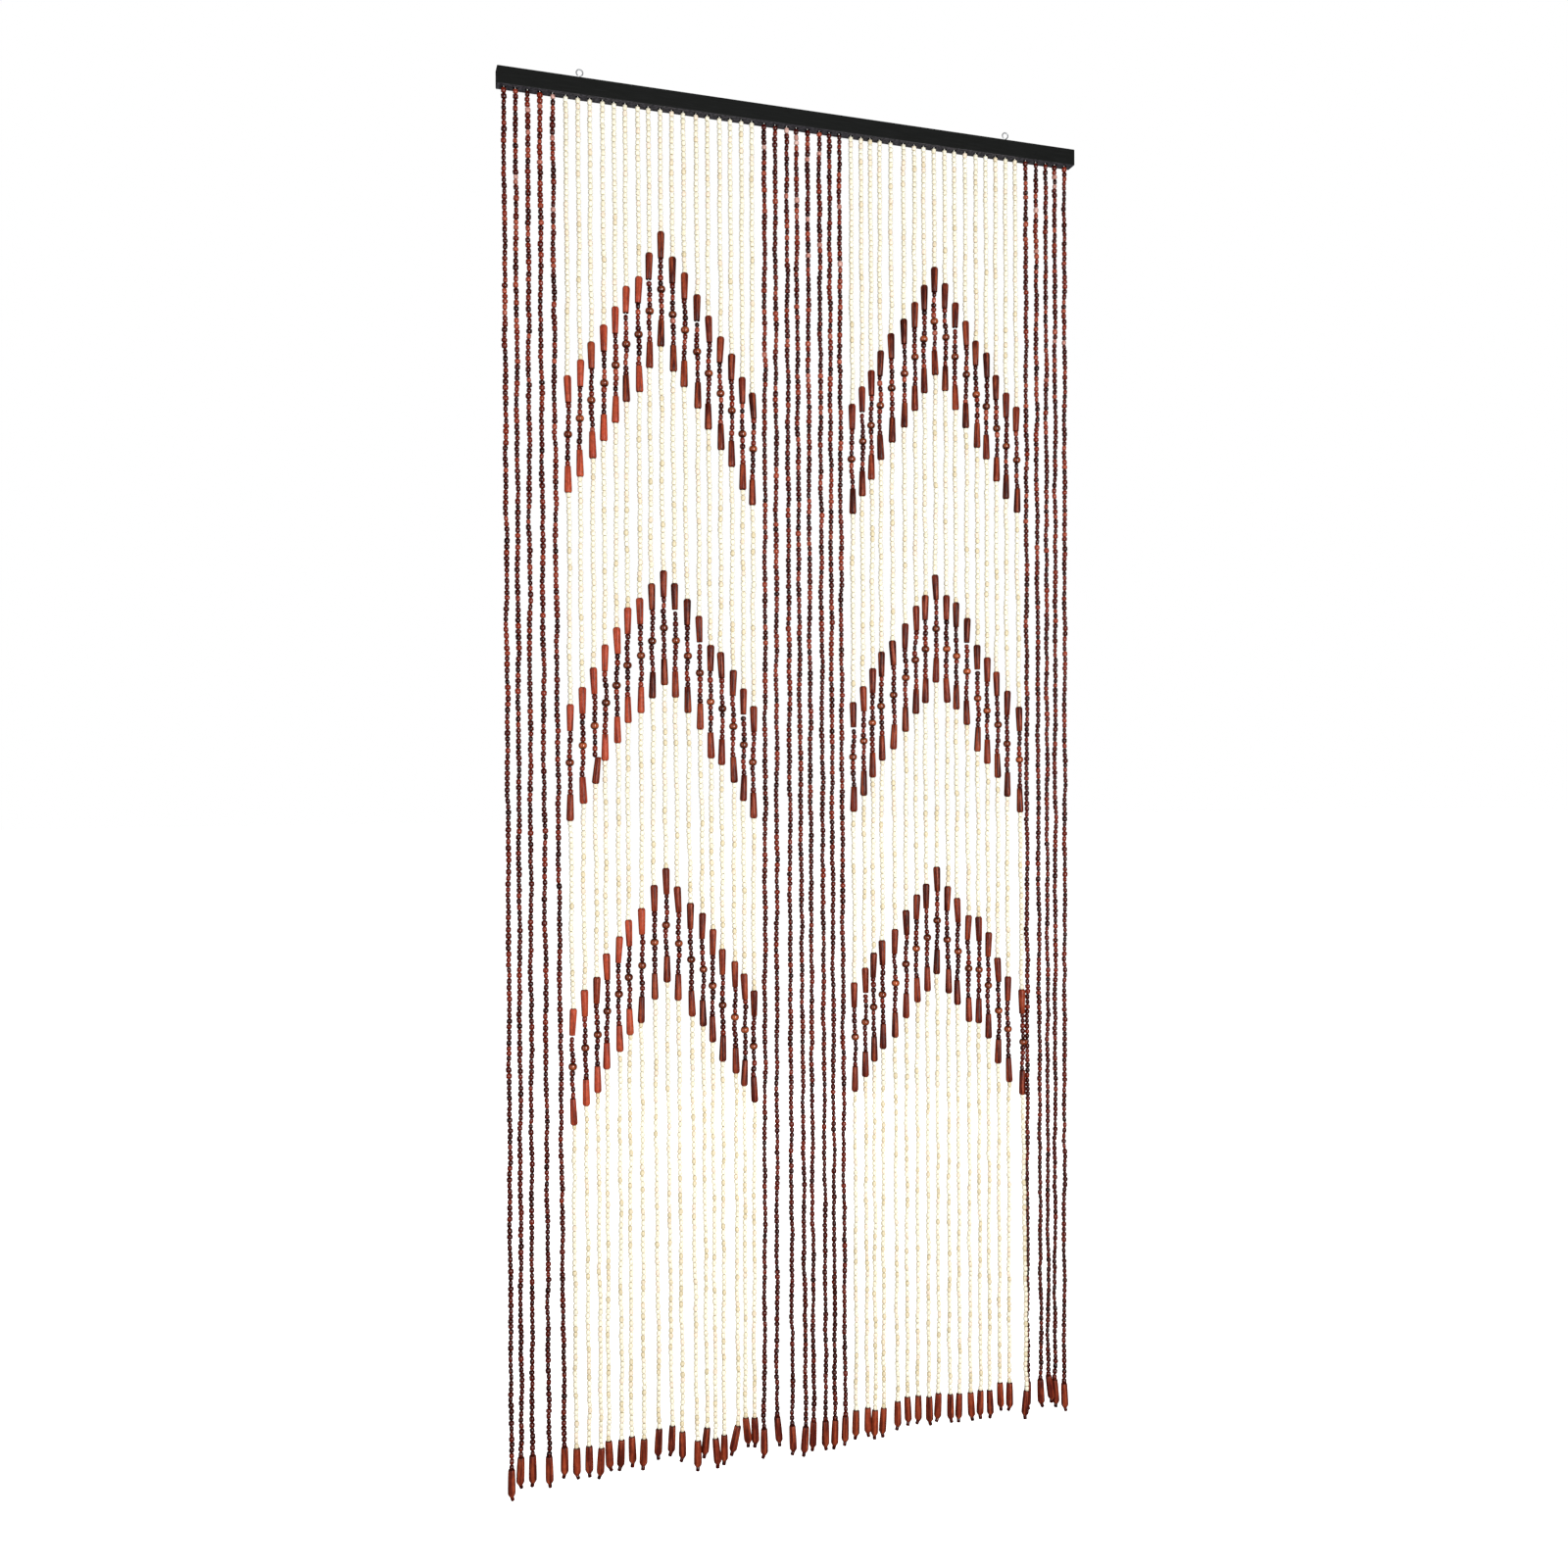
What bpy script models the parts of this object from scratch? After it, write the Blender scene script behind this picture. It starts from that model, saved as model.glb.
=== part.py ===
"""A bead curtain of 52 strings on a black wooden rail that hangs from two screw eyes.

Metres, +Z up, +X to the right along the rail and +Y to the back, towards the doorway.
The origin is midway between the rings of the two screw eyes. The rail lies just below it,
and the strings reach down to about z = -2.01.
"""

import math
import random
from collections import namedtuple

import bmesh
import bpy

MM = 0.001
WELD = 0.00001
SMOOTH_BELOW = math.radians(50)

# The rail, a black painted batten with a stopped groove along its underside
RAIL_LENGTH = 0.900
RAIL_DEPTH = 0.020
RAIL_HEIGHT = 0.025
RAIL_EDGE = 0.0010
GROOVE_WIDTH = 0.0100
GROOVE_DEPTH = 0.0053
GROOVE_STOP = 0.0050
CLEARANCE = 0.0003

# The two screw eyes, bent from wire
EYE_SPREAD = 0.667
EYE_RING = 0.0092
EYE_WIRE = 0.0018
EYE_RISE = 0.0100
EYE_SCREW = 0.0110
EYE_START = math.radians(-62)
EYE_TURN = math.radians(304)
EYE_STEPS = 22
NECK_STEPS = 4
TIP_RADIUS = 0.4
PILOT_RADIUS = 0.00130
PILOT_DEPTH = 0.0115
PILOT_SIDES = 12

RAIL_TOP = -EYE_RISE
RAIL_BOTTOM = RAIL_TOP - RAIL_HEIGHT

# The cord strips in the groove, which the strings are knotted into
STRIP_WIDTH = GROOVE_WIDTH - 2 * CLEARANCE
STRIP_HEIGHT = GROOVE_DEPTH - CLEARANCE

# Radii along a string, in millimetres
CORD = 1.4
SMALL_BEAD = 3.2
DARK_BEAD = 3.0
WIDE_END = 5.45
NARROW_END = 4.2
BALL = 5.7
STOPPER = 2.4

# Lengths along a string, in millimetres
BARREL = 38.5
DARK_RUN = 39.0
BALL_LENGTH = 11.0
HEM_BARREL = 39.5
STOPPER_LENGTH = 7.0
HEM_PIECE = HEM_BARREL + STOPPER_LENGTH
STEP = 1.2

# Depths below the rail's top, in millimetres
ROOT = RAIL_HEIGHT / MM - STRIP_HEIGHT / MM / 2
NECK = RAIL_HEIGHT / MM + 1.0
FIRST_BEAD = RAIL_HEIGHT / MM + 2.5
HEM = 1991.0
SWAY_POWER = 1.6
PLAIN_RINGS = 5

Section = namedtuple("Section", "name beads strings first_mm last_mm hem_mm")
SECTIONS = [
    Section("left_dark", "dark", 5, -440.0, -372.0, 1987),
    Section("left_cream", "cream", 17, -353.5, -79.5, 1986),
    Section("middle_dark", "dark", 8, -60.5, 58.5, 1999),
    Section("right_cream", "cream", 17, 76.0, 350.0, 1989),
    Section("right_dark", "dark", 5, 368.5, 436.5, 1991),
]

# Each chevron falls away from the middle string of its section by a step for each string.
Chevron = namedtuple("Chevron", "section peak_mm left_step_mm right_step_mm")
CHEVRONS = [
    Chevron("left_cream", 203, 27.0, 28.0),
    Chevron("left_cream", 682, 25.0, 25.0),
    Chevron("left_cream", 1123, 24.0, 22.5),
    Chevron("right_cream", 205, 28.0, 26.0),
    Chevron("right_cream", 682, 24.0, 24.5),
    Chevron("right_cream", 1130, 21.5, 24.0),
]

# The strings that hang most unevenly: how far the hole is out of line, how far the string
# drifts sideways by its hem, how much deeper it ends than its section does, how its last
# barrel leans, and how far the hem stands forward. Right and down are positive.
Stray = namedtuple("Stray", "hole_mm drift_mm hem_mm lean_deg forward_mm")
STRAYS = {
    0: Stray(0, -1, 15, 0, 0),
    1: Stray(-1, -3, 0, -4, 0),
    2: Stray(-1, -5, 0, 0, 0),
    4: Stray(0, 6, -5, 0, 0),
    5: Stray(0, 4, 0, 0, 0),
    6: Stray(0, 6, 0, 0, 0),
    7: Stray(0, 6, 5, -3, 0),
    12: Stray(-1, 6, -10, -3, 0),
    13: Stray(-1, 8, -12, -3, 0),
    14: Stray(-1, 7, 0, 0, -1),
    15: Stray(-1, 11, 15, 0, 1),
    16: Stray(1, 8, 0, -6, -2),
    17: Stray(1, 2, 15, 5, 3),
    18: Stray(2, -2, 15, 0, -3),
    19: Stray(1, 4, 5, -13, -5),
    20: Stray(1, -5, -10, 6, 6),
    21: Stray(0, -6, -5, 2, -1),
    22: Stray(0, -10, 0, 0, 1),
    23: Stray(0, -7, -15, 5, 0),
    25: Stray(-1, 6, 7, -4, 0),
    32: Stray(-3, 0, 8, -4, 0),
    33: Stray(-5, -2, 6, -6, 1),
    34: Stray(-4, 3, 0, 0, 0),
    46: Stray(0, 10, 11, -5, 6),
    47: Stray(0, -1, 0, -2, -6),
    49: Stray(1, -2, -7, 8, -1),
    50: Stray(0, -4, 4, 4, -6),
    51: Stray(0, -11, 6, 2, 6),
}

# The chevron motifs that hang furthest out of their row: how much deeper each one hangs, by
# its string and by its chevron from the rail down.
ODD_MOTIFS = {
    (11, 0): 12,
    (8, 1): -9,
    (9, 1): -9,
    (10, 1): -13,
    (13, 1): 7,
    (17, 1): 13,
    (40, 1): -11,
    (41, 1): -12,
    (42, 2): -19,
    (43, 2): -18,
}

# How far the other strings wander, either way
HOLE_WANDER = 1.2
DRIFT_WANDER = 1.8
HEM_WANDER = 5.0
LEAN_WANDER = 3.0
FORWARD_WANDER = 1.0
CHEVRON_WANDER = 5.0
SEED = 11

String = namedtuple("String", "hole drift hem lean forward chevrons")


def clear_scene():
    for thing in list(bpy.data.objects):
        bpy.data.objects.remove(thing)


def collection(name):
    group = bpy.data.collections.new(name)
    bpy.context.scene.collection.children.link(group)
    return group


def move_to(thing, group):
    for old in list(thing.users_collection):
        old.objects.unlink(thing)
    group.objects.link(thing)


def finish(thing, name, colour, roughness, metallic=0.0):
    material = bpy.data.materials.get(name) or bpy.data.materials.new(name)
    material.use_nodes = True
    shader = material.node_tree.nodes["Principled BSDF"]
    shader.inputs["Base Color"].default_value = (*colour, 1.0)
    shader.inputs["Roughness"].default_value = roughness
    shader.inputs["Metallic"].default_value = metallic
    thing.data.materials.clear()
    thing.data.materials.append(material)


def block(name, low, high, group):
    """A box between two corners, with its size applied."""
    centre = [(a + b) / 2 for a, b in zip(low, high)]
    size = [b - a for a, b in zip(low, high)]
    bpy.ops.mesh.primitive_cube_add(size=1, location=centre, scale=size)
    thing = bpy.context.object
    bpy.ops.object.transform_apply(location=False, rotation=False, scale=True)
    thing.name = name
    move_to(thing, group)
    return thing


def boolean(thing, operation, other):
    modifier = thing.modifiers.new(other.name, "BOOLEAN")
    modifier.operation = operation
    modifier.object = other
    other.hide_render = True
    other.display_type = "WIRE"


def wire(name, routes, resolution, group):
    """A curve with a POLY spline for each route of (x, y, z, radius in millimetres)."""
    curve = bpy.data.curves.new(name, "CURVE")
    curve.dimensions = "3D"
    curve.bevel_depth = MM
    curve.bevel_resolution = resolution
    curve.use_fill_caps = True
    for route in routes:
        spline = curve.splines.new("POLY")
        spline.points.add(len(route) - 1)
        for point, (x, y, z, radius) in zip(spline.points, route):
            point.co = (x, y, z, 1)
            point.radius = radius
    thing = bpy.data.objects.new(name, curve)
    group.objects.link(thing)
    return thing


def as_mesh(thing, group):
    """Swaps a curve for its mesh, with the end caps welded on."""
    name = thing.name
    bpy.context.view_layer.update()
    evaluated = thing.evaluated_get(bpy.context.evaluated_depsgraph_get())
    mesh = bpy.data.meshes.new_from_object(evaluated)
    work = bmesh.new()
    work.from_mesh(mesh)
    bmesh.ops.remove_doubles(work, verts=work.verts, dist=WELD)
    work.to_mesh(mesh)
    work.free()
    solid = bpy.data.objects.new(name + "_mesh", mesh)
    solid.matrix_world = thing.matrix_world
    bpy.data.objects.remove(thing)
    solid.name = name
    group.objects.link(solid)
    return solid


def hang_strings():
    """Every string of the curtain, from left to right, as the tables and the seed give it."""
    draw = random.Random(SEED)
    strings = {}
    number = 0
    for section in SECTIONS:
        pitch = (section.last_mm - section.first_mm) / (section.strings - 1)
        middle = (section.strings - 1) / 2
        strings[section.name] = []
        for place in range(section.strings):
            stray = Stray(
                draw.uniform(-HOLE_WANDER, HOLE_WANDER),
                draw.uniform(-DRIFT_WANDER, DRIFT_WANDER),
                draw.uniform(-HEM_WANDER, HEM_WANDER),
                draw.uniform(-LEAN_WANDER, LEAN_WANDER),
                draw.uniform(-FORWARD_WANDER, FORWARD_WANDER),
            )
            stray = STRAYS.get(number, stray)
            chevrons = []
            for chevron in CHEVRONS:
                if chevron.section == section.name:
                    away = place - middle
                    step = chevron.left_step_mm if away < 0 else chevron.right_step_mm
                    wander = draw.uniform(-CHEVRON_WANDER, CHEVRON_WANDER)
                    slip = ODD_MOTIFS.get((number, len(chevrons)), wander)
                    chevrons.append(chevron.peak_mm + abs(away) * step + slip)
            strings[section.name].append(
                String(
                    section.first_mm + place * pitch + stray.hole_mm,
                    stray.drift_mm,
                    section.hem_mm + stray.hem_mm,
                    math.radians(stray.lean_deg),
                    stray.forward_mm,
                    chevrons,
                )
            )
            number += 1
    return strings


def place_at(string, depth):
    """The string's centre at a depth below the rail's top, in millimetres."""
    sway = (depth / HEM) ** SWAY_POWER
    return string.hole + string.drift * sway, -string.forward * sway, -depth


def chevron_rings(top):
    """A barrel, dark beads, a ball, dark beads and a barrel: depths and radii."""
    ball = top + BARREL + DARK_RUN
    lower = ball + BALL_LENGTH + DARK_RUN
    return [
        (top - STEP, SMALL_BEAD),
        (top + 2 * STEP, WIDE_END),
        (top + BARREL - STEP, NARROW_END),
        (top + BARREL, DARK_BEAD),
        (ball, DARK_BEAD),
        (ball + BALL_LENGTH / 2, BALL),
        (ball + BALL_LENGTH, DARK_BEAD),
        (lower, DARK_BEAD),
        (lower + STEP, NARROW_END),
        (lower + BARREL - 2 * STEP, WIDE_END),
        (lower + BARREL + STEP, SMALL_BEAD),
    ]


def hem_rings():
    """The hem barrel and its stopper: lengths along them and radii."""
    return [
        (-STEP, SMALL_BEAD),
        (STEP, NARROW_END),
        (HEM_BARREL - 5 * STEP, WIDE_END),
        (HEM_BARREL, STOPPER),
        (HEM_PIECE, STOPPER),
    ]


def string_route(string):
    """The rings of a string from its root in the strip to its stopper, in metres."""
    barrel_top = string.hem - HEM_PIECE
    rings = [(ROOT, CORD), (NECK, CORD), (FIRST_BEAD, SMALL_BEAD)]
    for top in string.chevrons:
        rings += chevron_rings(top)
    if not string.chevrons:
        for ring in range(1, PLAIN_RINGS + 1):
            rings.append((barrel_top * ring / (PLAIN_RINGS + 1), SMALL_BEAD))
    route = [(*place_at(string, depth), radius) for depth, radius in rings]
    x, y, z = place_at(string, barrel_top)
    for along, radius in hem_rings():
        across = along * math.sin(string.lean)
        down = along * math.cos(string.lean)
        route.append((x + across, y, z - down, radius))
    return [(x * MM, y * MM, RAIL_TOP + z * MM, radius) for x, y, z, radius in route]


def make_rail(group, cutters):
    """The batten, its stopped groove and a pilot hole under each screw eye."""
    half = RAIL_LENGTH / 2
    rail = block(
        "rail",
        (-half, -RAIL_DEPTH / 2, RAIL_BOTTOM),
        (half, RAIL_DEPTH / 2, RAIL_TOP),
        group,
    )
    edge = rail.modifiers.new("edge", "BEVEL")
    edge.width = RAIL_EDGE
    edge.segments = 2
    groove = block(
        "groove",
        (-half + GROOVE_STOP, -GROOVE_WIDTH / 2, RAIL_BOTTOM - GROOVE_DEPTH),
        (half - GROOVE_STOP, GROOVE_WIDTH / 2, RAIL_BOTTOM + GROOVE_DEPTH),
        cutters,
    )
    boolean(rail, "DIFFERENCE", groove)
    for side, x in (("left", -EYE_SPREAD / 2), ("right", EYE_SPREAD / 2)):
        bpy.ops.mesh.primitive_cylinder_add(
            vertices=PILOT_SIDES,
            radius=PILOT_RADIUS,
            depth=2 * PILOT_DEPTH,
            location=(x, 0, RAIL_TOP),
        )
        pilot = bpy.context.object
        pilot.name = "pilot_" + side
        move_to(pilot, cutters)
        boolean(rail, "DIFFERENCE", pilot)
    finish(rail, "black paint", (0.012, 0.012, 0.013), 0.38)


def eye_route(x):
    """The wire's line: up the shank, round the neck and most of the way round the ring."""
    radius = EYE_RING / 2
    wire_radius = EYE_WIRE / 2 / MM
    start = (radius * math.cos(EYE_START), radius * math.sin(EYE_START))
    corner = radius / math.sin(EYE_START)
    foot = 2 * corner - start[1]
    tip = -EYE_RISE - EYE_SCREW
    route = [
        (0, tip, TIP_RADIUS),
        (0, tip + EYE_WIRE, wire_radius),
        (0, -EYE_RISE, wire_radius),
    ]
    for step in range(NECK_STEPS):
        t = step / NECK_STEPS
        across = t * t * start[0]
        up = (1 - t) ** 2 * foot + 2 * t * (1 - t) * corner + t * t * start[1]
        route.append((across, up, wire_radius))
    for step in range(EYE_STEPS + 1):
        angle = EYE_START + EYE_TURN * step / EYE_STEPS
        route.append((radius * math.cos(angle), radius * math.sin(angle), wire_radius))
    return [(x + across, 0, up, size) for across, up, size in route]


def make_screw_eyes(group):
    for side, x in (("left", -EYE_SPREAD / 2), ("right", EYE_SPREAD / 2)):
        eye = wire("screw_eye_" + side, [eye_route(x)], 2, group)
        eye = as_mesh(eye, group)
        eye.data.shade_smooth()
        eye.data.set_sharp_from_angle(angle=SMOOTH_BELOW)
        finish(eye, "zinc plated steel", (0.62, 0.63, 0.64), 0.3, 1.0)


def strip_ends():
    """Where each section's strip starts and ends in the groove, in metres."""
    groove_end = RAIL_LENGTH / 2 - GROOVE_STOP
    joins = [
        (left.last_mm + right.first_mm) / 2 * MM for left, right in zip(SECTIONS, SECTIONS[1:])
    ]
    starts = [-groove_end + CLEARANCE] + [join + CLEARANCE / 2 for join in joins]
    ends = [join - CLEARANCE / 2 for join in joins] + [groove_end - CLEARANCE]
    return list(zip(starts, ends))


def make_strings(group, cutters):
    """Each section's strings, joined at their roots to the strip that they are tied into."""
    strings = hang_strings()
    looks = {
        "dark": ("maroon beads", (0.16, 0.035, 0.025), 0.3),
        "cream": ("natural beads", (0.87, 0.80, 0.60), 0.5),
    }
    for section, (start, end) in zip(SECTIONS, strip_ends()):
        routes = [string_route(string) for string in strings[section.name]]
        hanging = wire(section.name + "_hanging", routes, 0, cutters)
        hanging = as_mesh(hanging, cutters)
        strip = block(
            section.name + "_strings",
            (start, -STRIP_WIDTH / 2, RAIL_BOTTOM),
            (end, STRIP_WIDTH / 2, RAIL_BOTTOM + STRIP_HEIGHT),
            group,
        )
        boolean(strip, "UNION", hanging)
        finish(strip, *looks[section.beads])


clear_scene()
curtain = collection("bead_curtain")
cutters = collection("cutters")
make_rail(curtain, cutters)
make_screw_eyes(curtain)
make_strings(curtain, cutters)
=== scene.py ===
"""A doorway curtain of wooden beads on 52 strings, which hang from a black wooden rail.

Metres, with the origin midway between the rings of the two screw eyes. The beads are threaded
string by string from the rail down, and sizes along a string are in millimetres.
"""

import math
import random
from collections import namedtuple

import bpy
import numpy as np
from mathutils import Matrix, Vector


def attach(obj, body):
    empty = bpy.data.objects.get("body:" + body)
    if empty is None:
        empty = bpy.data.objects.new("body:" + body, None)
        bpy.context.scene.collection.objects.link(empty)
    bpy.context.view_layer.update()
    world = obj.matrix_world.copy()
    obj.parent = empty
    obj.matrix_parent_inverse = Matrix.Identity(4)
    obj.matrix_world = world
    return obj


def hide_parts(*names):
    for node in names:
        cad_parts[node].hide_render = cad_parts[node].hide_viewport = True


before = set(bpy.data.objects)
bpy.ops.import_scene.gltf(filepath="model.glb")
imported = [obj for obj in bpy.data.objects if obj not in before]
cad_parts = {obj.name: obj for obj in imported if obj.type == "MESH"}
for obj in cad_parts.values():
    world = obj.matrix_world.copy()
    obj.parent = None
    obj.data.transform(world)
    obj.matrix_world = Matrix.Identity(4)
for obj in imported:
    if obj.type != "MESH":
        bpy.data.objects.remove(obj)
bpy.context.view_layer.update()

# The rail is a square wooden batten with softened edges, sprayed with black satin paint.
# The underside, where the strings go in, is painted paler: painted light for the glow that
# the white floor throws up onto it. The sawn ends drink more of the paint and stay dull.
MM = 0.001


def look(red, green, blue):
    """A colour as it looks, from 0 to 255, in the scale that a shader takes."""
    parts = [part / 255 for part in (red, green, blue)]
    return [part / 12.92 if part < 0.04045 else ((part + 0.055) / 1.055) ** 2.4 for part in parts]


def feed(finish, shader, inputs):
    """Sets a node's sockets by name, or links other nodes' sockets into them."""
    for name, value in inputs.items():
        if isinstance(value, bpy.types.NodeSocket):
            finish.node_tree.links.new(value, shader.inputs[name])
        else:
            shader.inputs[name].default_value = value


def node(finish, kind, inputs, **settings):
    made = finish.node_tree.nodes.new("ShaderNode" + kind)
    for name, value in settings.items():
        setattr(made, name, value)
    feed(finish, made, inputs)
    return made


def blend(finish, amount, under, over):
    """One colour laid over another by an amount, each a colour or a socket."""
    colours = [tint if isinstance(tint, bpy.types.NodeSocket) else (*tint, 1) for tint in (under, over)]
    return node(finish, "Mix", {0: amount, 6: colours[0], 7: colours[1]}, data_type="RGBA").outputs[2]


def between(finish, value, low, high):
    """Runs smoothly from 0 to 1 as a value goes from low to high."""
    inputs = {"Value": value, "From Min": low, "From Max": high}
    return node(finish, "MapRange", inputs, interpolation_type="SMOOTHSTEP").outputs["Result"]


def speckle(finish, place, scale, detail=3.0, stretch=(1, 1, 1)):
    """Noise about a place, with its grain drawn out by a small stretch along an axis."""
    drawn = node(finish, "Mapping", {"Vector": place, "Scale": stretch}).outputs["Vector"]
    return node(finish, "TexNoise", {"Vector": drawn, "Scale": scale, "Detail": detail}).outputs["Fac"]


def relief(finish, height, strength, depth):
    inputs = {"Height": height, "Strength": strength, "Distance": depth}
    return node(finish, "Bump", inputs).outputs["Normal"]


def new_finish(name):
    finish = bpy.data.materials.new(name)
    finish.use_nodes = True
    return finish, finish.node_tree.nodes["Principled BSDF"]


def black_paint():
    finish, shader = new_finish("black_satin_paint")
    place = node(finish, "TexCoord", {}).outputs["Object"]
    facing = node(finish, "NewGeometry", {}).outputs["Normal"]
    facing = node(finish, "SeparateXYZ", {"Vector": facing}).outputs
    fibres = speckle(finish, place, 900, 4, (0.03, 1, 1))
    mottle = speckle(finish, place, 260, 5)
    coat = blend(finish, between(finish, fibres, 0.45, 0.75), look(20, 21, 20), look(27, 28, 28))
    # Painted light: faces that look down are painted a paler, mottled grey for the light thrown up by the
    # white floor.
    painted_underside_light = blend(finish, between(finish, mottle, 0.38, 0.62), look(50, 49, 53), look(78, 76, 82))
    below = node(finish, "Math", {0: facing["Z"], 1: -1.0}, operation="MULTIPLY").outputs[0]
    sawn = node(finish, "Math", {0: facing["X"]}, operation="ABSOLUTE").outputs[0]
    coat = blend(finish, between(finish, below, 0.6, 0.9), coat, painted_underside_light)
    bare = blend(finish, mottle, look(30, 30, 31), look(74, 74, 76))
    coat = blend(finish, between(finish, sawn, 0.6, 0.9), coat, bare)
    rough = between(finish, mottle, -0.6, 1.4)
    feed(finish, shader, {"Base Color": coat, "Roughness": rough, "Specular IOR Level": 0.08})
    feed(finish, shader, {"Normal": relief(finish, fibres, 0.25, 0.0002)})
    return finish


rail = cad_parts["rail"]
rail.data.materials.clear()
rail.data.materials.append(black_paint())

# The two screw eyes are bent from zinc plated wire, with a ring that doesn't quite close.
# Each is turned into a pilot hole in the rail's top until its neck meets the wood.
EYE_SPREAD = 0.667
EYE_RING = 0.0092
EYE_WIRE = 0.0018
EYE_RISE = 0.0100
EYE_SCREW = 0.0110
EYE_START = math.radians(-62)
EYE_TURN = math.radians(304)
RING_SIDES = 72
NECK_STEPS = 8
WIRE_ROUNDNESS = 4
POINT_LENGTH = 2 * EYE_WIRE
POINT_SHARE = 0.25
WELD = 0.00001


def only(thing):
    """Selects one object alone and makes it the active one."""
    bpy.ops.object.select_all(action="DESELECT")
    thing.select_set(True)
    bpy.context.view_layer.objects.active = thing


def pick(thing, wanted):
    """Selects the points that are wanted, in edit mode."""
    bpy.ops.object.mode_set(mode="EDIT")
    bpy.ops.mesh.select_mode(type="VERT")
    bpy.ops.mesh.select_all(action="DESELECT")
    bpy.ops.object.mode_set(mode="OBJECT")
    for point in thing.data.vertices:
        point.select = wanted(point.co)
    bpy.ops.object.mode_set(mode="EDIT")


def apply_all(thing):
    only(thing)
    bpy.ops.object.transform_apply(location=True, rotation=True, scale=True)
    for modifier in list(thing.modifiers):
        bpy.ops.object.modifier_apply(modifier=modifier.name)


def smooth(thing, degrees):
    only(thing)
    bpy.ops.object.shade_smooth_by_angle(angle=math.radians(degrees))


def zinc_plate():
    finish, shader = new_finish("zinc_plated_wire")
    place = node(finish, "TexCoord", {}).outputs["Object"]
    bloom = speckle(finish, place, 700, 4)
    scuff = speckle(finish, place, 2600, 2)
    colour = blend(finish, between(finish, bloom, 0.4, 0.7), look(206, 208, 210), look(176, 179, 182))
    feed(finish, shader, {"Base Color": colour, "Metallic": 0.85})
    feed(finish, shader, {"Roughness": between(finish, bloom, -0.6, 1.6)})
    feed(finish, shader, {"Normal": relief(finish, scuff, 0.15, 0.00005)})
    return finish


def eye_wire(x):
    """The ring as a circle of edges with its gap cut out, drawn on down the neck and the shank."""
    radius = EYE_RING / 2
    turn = (math.radians(90), 0, 0)
    bpy.ops.mesh.primitive_circle_add(vertices=RING_SIDES, radius=radius, location=(x, 0, 0), rotation=turn)
    eye = bpy.context.object
    apply_all(eye)
    end = EYE_START + EYE_TURN

    def in_gap(point):
        angle = math.atan2(point.z, point.x - x)
        return end - 2 * math.pi < angle < EYE_START

    pick(eye, in_gap)
    bpy.ops.mesh.delete(type="VERT")
    start = Vector((x + radius * math.cos(EYE_START), 0, radius * math.sin(EYE_START)))
    bpy.ops.object.mode_set(mode="OBJECT")
    nearest = min((point.co.copy() for point in eye.data.vertices), key=lambda co: (co - start).length)
    pick(eye, lambda point: (point - nearest).length < 1e-6)
    corner = radius / math.sin(EYE_START)
    foot = 2 * corner - start.z
    here = nearest
    for step in range(NECK_STEPS - 1, -1, -1):
        t = step / NECK_STEPS
        across = t * t * (start.x - x)
        up = (1 - t) ** 2 * foot + 2 * t * (1 - t) * corner + t * t * start.z
        there = Vector((x + across, 0, up))
        bpy.ops.mesh.extrude_region_move(TRANSFORM_OT_translate={"value": there - here})
        here = there
    point_height = -EYE_RISE - EYE_SCREW
    for height in (point_height + POINT_LENGTH, point_height):
        there = Vector((x, 0, height))
        bpy.ops.mesh.extrude_region_move(TRANSFORM_OT_translate={"value": there - here})
        here = there
    bpy.ops.object.mode_set(mode="OBJECT")
    only(eye)
    bpy.ops.object.convert(target="CURVE")
    eye.data.bevel_depth = EYE_WIRE / 2
    eye.data.bevel_resolution = WIRE_ROUNDNESS
    eye.data.use_fill_caps = True
    tip = min(eye.data.splines[0].points, key=lambda point: point.co.z)
    tip.radius = POINT_SHARE
    bpy.ops.object.convert(target="MESH")
    bpy.ops.object.mode_set(mode="EDIT")
    bpy.ops.mesh.select_all(action="SELECT")
    bpy.ops.mesh.remove_doubles(threshold=WELD)
    bpy.ops.mesh.normals_make_consistent(inside=False)
    bpy.ops.object.mode_set(mode="OBJECT")
    return eye


zinc = zinc_plate()
for side, x in (("left", -EYE_SPREAD / 2), ("right", EYE_SPREAD / 2)):
    bpy.ops.object.select_all(action="DESELECT")
    eye = eye_wire(x)
    eye.name = "wire_eye_" + side
    eye.data.materials.clear()
    eye.data.materials.append(zinc)
    smooth(eye, 50)
    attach(eye, "root")
    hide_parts("screw_eye_" + side)

# The strings are let into holes along the rail's underside, in five sections of dark and pale
# strings. A strip of painted wood fills the rail's groove at each section, with its holes drilled
# in it. The strings hang unevenly: they start out of line, drift, and end at odd heights.
RAIL_TOP = -EYE_RISE
RAIL_HEIGHT = 0.025
RAIL_BOTTOM = RAIL_TOP - RAIL_HEIGHT
GROOVE_WIDTH = 0.0100
GROOVE_DEPTH = 0.0053
GROOVE_END = 0.445
CLEARANCE = 0.0003
HOLE_RADIUS = 0.0038
HOLE_DEPTH = 0.0044
HOLE_TAPER = 0.06
HOLE_SIDES = 20

Section = namedtuple("Section", "name beads strings first_mm last_mm hem_mm")
SECTIONS = [
    Section("left_dark", "dark", 5, -440.0, -372.0, 1987),
    Section("left_cream", "cream", 17, -353.5, -79.5, 1986),
    Section("middle_dark", "dark", 8, -60.5, 58.5, 1999),
    Section("right_cream", "cream", 17, 76.0, 350.0, 1989),
    Section("right_dark", "dark", 5, 368.5, 436.5, 1991),
]

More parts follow.
